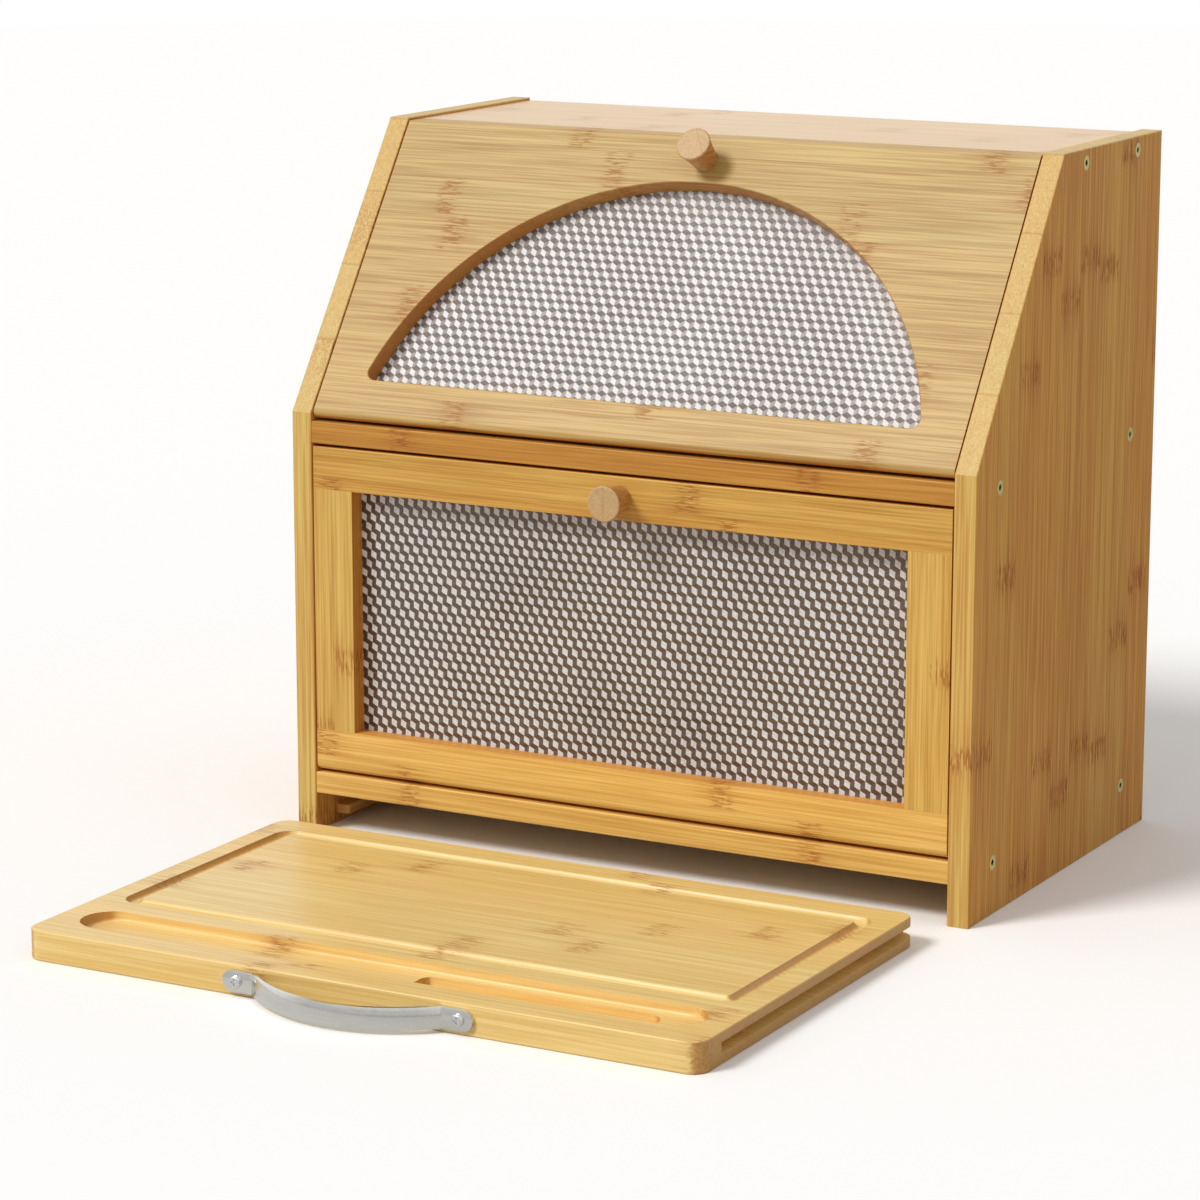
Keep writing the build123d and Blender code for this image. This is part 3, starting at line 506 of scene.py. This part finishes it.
# painted shade: end darkens the upper door's cut ends, the sides of the arch's reveal among them
finish(bamboo_finish("bamboo_upper_door", ALONG_X_UP_SLOPE, seed=5.0, pale=(203, 173, 107),
                     warm=(166, 127, 65), knot=(158, 100, 34), edge=door_edge_painted_shade, end=(0.95, 0.58, 0.3)),
       "upper_door_panel")
finish(bamboo_finish("bamboo_top_rail", ALONG_X_UPRIGHT, seed=2.0, pale=(220, 178, 92),
                     warm=(186, 134, 54), knot=(156, 92, 26), edge=door_edge_painted_shade), "lower_door_top_rail")
# painted shade on the sawn edges, the window's lower reveal among them; the paler colours are painted light
# that makes up for the shade of the board in front
finish(bamboo_finish("bamboo_bottom_rail", ALONG_X_UPRIGHT, seed=2.5, pale=(244, 200, 114),
                     warm=(216, 164, 76), knot=(176, 110, 36), edge=(0.95, 0.72, 0.48)),
       "lower_door_bottom_rail")
finish(bamboo_finish("bamboo_stiles", UPRIGHT_FRONT, seed=6.0, pale=(226, 190, 105),
                     warm=(194, 146, 65), knot=(164, 100, 32), edge=door_edge_painted_shade),
       "lower_door_stile_left", "lower_door_stile_right")
# painted light: end makes each knob's end-grain face paler than its sides, as a lit face
knob_paint = dict(pale=(206, 150, 86), warm=(176, 112, 52), end=(1.05, 1.56, 2.75))
finish(bamboo_finish("bamboo_upper_knob", OUT_OF_SLOPE, seed=12.0, **knob_paint), "upper_knob")
finish(bamboo_finish("bamboo_lower_knob", ALONG_Y, seed=13.0, **knob_paint), "lower_knob")
finish(bamboo_finish("bamboo_board", ALONG_X_FLAT, seed=11.0, strip=0.021, lacquer=0.4,
                     pale=(241, 212, 141), warm=(222, 183, 103), knot=(176, 118, 46),
                     end=(0.72, 0.55, 0.4)), "cutting_board")
print("bamboo of the doors and the board done")

# %% [markdown]
# ## Metal
#
# Brushed steel for the strap handle and its screws, warm zinc-plated steel for the assembly
# screws, plain steel for what is hidden. A bent flat strip is never quite flat: a slight crown
# across the strap lets the light roll over its long edges. The sockets of the assembly screws get
# painted shade inside.

# %% Metal material
BRUSH_DEPTH = 0.1 * MM
SHEEN_SWING = 0.12
# painted shade: the dark colour at the bottom of each assembly screw socket
SOCKET_PAINTED_SHADE = paint(30, 26, 20)
SOCKET_SHADE_FADE = 0.3 * MM
BRUSHED_ALONG_X = (8, 900, 900)
BRUSHED_ALL_WAYS = (300, 300, 300)


def metal_finish(name, colour, roughness, grain=BRUSHED_ALL_WAYS, crown=None, metallic=1.0, shade_within=None):
    """Metal with fine brushing. crown gives the middle height and the half width of a flat strip, and
    how far its long edges fall away. shade_within, a distance from the middle of the box, is where
    the painted shade in a socket begins."""
    material, tree, shader = new_material(name)
    place = tree.nodes.new("ShaderNodeTexCoord").outputs["Object"]
    brushed = noise(tree, vector_node(tree, "MULTIPLY", place, grain), detail=3)
    tint = mix_colours(tree, brushed, paint(*[v * 0.9 for v in colour]), paint(*colour))
    # painted shade: the colour turns dark inside the socket, deeper than its mouth
    if shade_within:
        sideways = math_node(tree, "ABSOLUTE", parts_of(tree, place)["X"])
        outside = ramp_between(tree, sideways, shade_within - SOCKET_SHADE_FADE, shade_within)
        tint = mix_colours(tree, outside, SOCKET_PAINTED_SHADE, tint)
    tree.links.new(tint, shader.inputs["Base Color"])
    shader.inputs["Metallic"].default_value = metallic
    sheen = plus(tree, roughness - SHEEN_SWING / 2, times(tree, brushed, SHEEN_SWING))
    tree.links.new(sheen, shader.inputs["Roughness"])
    surface = relief(tree, brushed, strength=0.1, depth=BRUSH_DEPTH)
    if crown:
        middle_height, half_width, sag = crown
        offset = math_node(tree, "DIVIDE", minus(tree, parts_of(tree, place)["Z"], middle_height), half_width)
        fall = times(tree, times(tree, offset, offset), -1.0)
        rounded = relief(tree, fall, strength=1.0, depth=sag)
        tree.links.new(surface.outputs["Normal"], rounded.inputs["Normal"])
        surface = rounded
    tree.links.new(surface.outputs["Normal"], shader.inputs["Normal"])
    return material


print("metal finish ready")

# %% Metal of each piece
strap_low, strap_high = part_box("board_handle")
strap_half = (strap_high.z - strap_low.z) / 2
strap_crown = (strap_low.z + 0.8 * strap_half, strap_half, 0.9 * MM)
finish(metal_finish("satin_steel_strap", (228, 227, 221), 0.17, BRUSHED_ALONG_X, crown=strap_crown),
       "board_handle")
finish(metal_finish("satin_steel", (230, 231, 229), 0.25, BRUSHED_ALONG_X), "handle_screws")
zinc_yellow = (240, 232, 160)
socket_mouth = side_high.x - 0.5 * MM
finish(metal_finish("zinc_steel_heads", zinc_yellow, 0.45, metallic=0.5, shade_within=socket_mouth),
       "assembly_screws_left", "assembly_screws_right")
finish(metal_finish("zinc_steel", zinc_yellow, 0.4), "door_stop_screws")
finish(metal_finish("plain_steel", (200, 200, 200), 0.32),
       "upper_pane_screws", "upper_knob_screw", "upper_hinge_pins", "upper_strikes", "upper_magnets",
       "lower_pane_screws", "lower_knob_screw", "lower_hinge_pins", "lower_strikes", "lower_magnets")
print("metal finishes done, strap", round(2 * strap_half / MM, 1), "mm high")

# %% [markdown]
# ## Prism panes
#
# The windows are clear sheet pressed with a prism pattern: three-sided facets like a tiling of
# little cubes, about 6 mm across. Each facet bends the light another way, so a third of them look
# white and the others grey or brown, darker in the lower pane. That light is painted: each of the
# three sides has its own colour, a painted highlight on one and painted grey and painted shade of
# the box's inside on the others, and the flat inner side, which shows when a door is open, has a
# finish of its own.


# %% Pane materials
def pane_finish(name, light, deep, transmission, roughness):
    """Clear pressed plastic in painted facet light. Its tone drifts from light to deep over the sheet, and a
    painted sparkle shifts it within a facet.
    """
    material, tree, shader = new_material(name)
    place = tree.nodes.new("ShaderNodeTexCoord").outputs["Object"]
    drift = ramp_between(tree, noise(tree, place, scale=11, detail=1), 0.35, 0.65)
    # painted sparkle: fine noise that shifts each facet's tone, as glints would
    painted_sparkle = ramp_between(tree, noise(tree, place, scale=900, detail=1), 0.4, 0.6)
    depth = times(tree, plus(tree, drift, painted_sparkle), 0.45)
    tree.links.new(mix_colours(tree, depth, paint(*light), paint(*deep)), shader.inputs["Base Color"])
    tree.links.new(plus(tree, roughness, times(tree, painted_sparkle, 0.06)), shader.inputs["Roughness"])
    shader.inputs["IOR"].default_value = 1.49
    shader.inputs["Transmission Weight"].default_value = transmission
    shader.inputs["Coat Weight"].default_value = 0.6
    shader.inputs["Coat Roughness"].default_value = 0.04
    return material


# painted light: per facet side a painted highlight, a painted grey and the painted shade of the box's inside
upper_paints = [
    pane_finish("upper_pane_painted_highlight", (255, 255, 255), (244, 242, 240), 0.1, 0.2),
    pane_finish("upper_pane_painted_grey", (216, 212, 208), (176, 168, 162), 0.35, 0.35),
    pane_finish("upper_pane_painted_shade", (160, 144, 134), (120, 102, 92), 0.5, 0.35),
    pane_finish("upper_pane_back", (228, 226, 222), (214, 210, 206), 0.6, 0.3),
]
# painted light, darker than the upper pane: a painted highlight, and grey and dark facets as painted shade of
# the box's inside
lower_paints = [
    pane_finish("lower_pane_painted_highlight", (250, 249, 248), (214, 209, 206), 0.2, 0.2),
    pane_finish("lower_pane_painted_grey", (136, 116, 100), (94, 76, 64), 0.5, 0.35),
    pane_finish("lower_pane_painted_shade", (128, 104, 86), (84, 66, 54), 0.5, 0.35),
    pane_finish("lower_pane_back", (214, 208, 200), (196, 188, 178), 0.6, 0.3),
]
CUBE_SIDES = 3
BACK_PAINT = 3
print("pane materials ready:", len(upper_paints), "and", len(lower_paints))

# %% [markdown]
# ## The prism relief
#
# The relief is real geometry. One facet cell is a six-sided fan: its middle stands highest, and its
# corners are sunk by one step and two steps in turn, so that its six triangles pair up into the
# three sides of a little cube. Copies of the cell side by side share their corners. Planes then cut
# the field to the pane's outline, and the open rim is drawn back and filled to give the flat inner
# side.

# %% Facet field
facet_side = 3.4 * MM
facet_step = 0.45 * MM


def everything(shape):
    """All corners, edges and faces of a bmesh."""
    return list(shape.verts) + list(shape.edges) + list(shape.faces)


def corners_in(parts):
    """The corners among what a bmesh operator made."""
    return [part for part in parts if isinstance(part, bmesh.types.BMVert)]


def repeat(shape, count, offset):
    """Copies what is there, to count in all. offset says how far each copy is moved."""
    first = everything(shape)
    for number in range(1, count):
        copy = bmesh.ops.duplicate(shape, geom=first)["geom"]
        bmesh.ops.translate(shape, vec=offset(number), verts=corners_in(copy))


def facet_field(width, height):
    """A bmesh field of facet cells that covers -width/2..width/2 and 0..height."""
    field = bmesh.new()
    cell = bmesh.ops.create_circle(field, cap_ends=True, cap_tris=True, segments=6, radius=facet_side)
    corners = sorted((v for v in cell["verts"] if v.co.length > facet_side / 2),
                     key=lambda v: math.atan2(v.co.y, v.co.x))
    for place, corner in enumerate(corners):
        corner.co.z = -facet_step * (1 + place % 2)
    pitch = facet_side * math.sqrt(3)
    row_rise = 1.5 * facet_side
    columns = math.ceil(width / pitch) + 2
    rows = math.ceil(height / row_rise) + 2
    repeat(field, columns, lambda number: (number * pitch, 0, 0))
    repeat(field, rows, lambda number: ((number % 2) * pitch / 2, number * row_rise, 0))
    bmesh.ops.remove_doubles(field, verts=field.verts, dist=facet_side / 50)
    bmesh.ops.translate(field, vec=(-(columns - 0.5) * pitch / 2, -row_rise / 2, 0), verts=field.verts)
    return field


print("facets", facet_side / MM, "mm along each side")


# %% Prism sheet
def trim(field, point, outward):
    """Cuts away what lies beyond a plane that stands upright on the sheet."""
    bmesh.ops.bisect_plane(field, geom=everything(field), plane_co=(*point, 0), plane_no=(*outward, 0),
                           clear_outer=True, dist=1e-7)


def prism_sheet(name, width, height, planes, thickness, to_place, paints):
    """A pressed sheet. planes trims its outline, and to_place takes it to where it belongs."""
    sheet = facet_field(width, height)
    for point, outward in planes:
        trim(sheet, point, outward)
    sheet.normal_update()
    for face in sheet.faces:
        turn = math.degrees(math.atan2(face.normal.y, face.normal.x)) % 360
        face.material_index = int(turn // (360 / CUBE_SIDES))
    rim = [edge for edge in sheet.edges if edge.is_boundary]
    skirt = bmesh.ops.extrude_edge_only(sheet, edges=rim)["geom"]
    for vert in corners_in(skirt):
        vert.co.z = -thickness
    back_rim = [part for part in skirt if isinstance(part, bmesh.types.BMEdge) and part.is_boundary]
    for face in bmesh.ops.contextual_create(sheet, geom=back_rim)["faces"]:
        face.material_index = BACK_PAINT
    bmesh.ops.recalc_face_normals(sheet, faces=sheet.faces)
    bmesh.ops.transform(sheet, matrix=to_place, verts=sheet.verts)
    mesh = bpy.data.meshes.new(name)
    sheet.to_mesh(mesh)
    sheet.free()
    piece = bpy.data.objects.new(name, mesh)
    scene.collection.objects.link(piece)
    for material in paints:
        mesh.materials.append(material)
    print(name, len(mesh.polygons), "faces")
    return piece


# %% [markdown]
# ## The two panes
#
# The lower pane is a plain rectangle. The upper one is a half moon: its curved edge is trimmed by
# planes that touch the arc, close enough together to look round. At the foot its two tips are cut
# off upright, a little inside the arc.

# %% Lower pane
pane_thickness = 2 * MM
low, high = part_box("lower_pane")
sides = [((low.x, 0), (-1, 0)), ((high.x, 0), (1, 0)), ((0, 0), (0, -1)), ((0, high.z - low.z), (0, 1))]
upright = Matrix(((1, 0, 0, 0), (0, 0, -1, low.y), (0, 1, 0, low.z), (0, 0, 0, 1)))
lower_prism = prism_sheet("lower_prism_pane", high.x - low.x, high.z - low.z, sides, pane_thickness,
                          upright, lower_paints)

# %% Upper pane
foot_trim = 0.9 * MM
arc_steps = 72
arc_spread = 164
low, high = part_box("upper_pane")
pane_height = (high.z - low.z - pane_thickness * math.sin(lean)) / math.cos(lean)
half_foot = high.x + foot_trim
arc = (half_foot**2 + pane_height**2) / (2 * pane_height)
planes = [((0, 0), (0, -1)), ((low.x, 0), (-1, 0)), ((high.x, 0), (1, 0))]
for step in range(arc_steps + 1):
    angle = math.radians(arc_spread * step / arc_steps - arc_spread / 2)
    out = (math.sin(angle), math.cos(angle))
    planes.append(((arc * out[0], pane_height - arc + arc * out[1]), out))
slanted = Matrix((
    (1, 0, 0, 0),
    (0, math.sin(lean), -math.cos(lean), low.y),
    (0, math.cos(lean), math.sin(lean), low.z + pane_thickness * math.sin(lean)),
    (0, 0, 0, 1),
))
upper_prism = prism_sheet("upper_prism_pane", high.x - low.x, pane_height, planes, pane_thickness,
                          slanted, upper_paints)

# %% [markdown]
# ## What moves with what
#
# Each pane swings with its door and stands for the smooth pane of the solid model.

# %% Panes on their doors
for piece, node, body in (
    (lower_prism, "lower_pane", "lower_door"),
    (upper_prism, "upper_pane", "upper_door"),
):
    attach(piece, body)
    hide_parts(node)
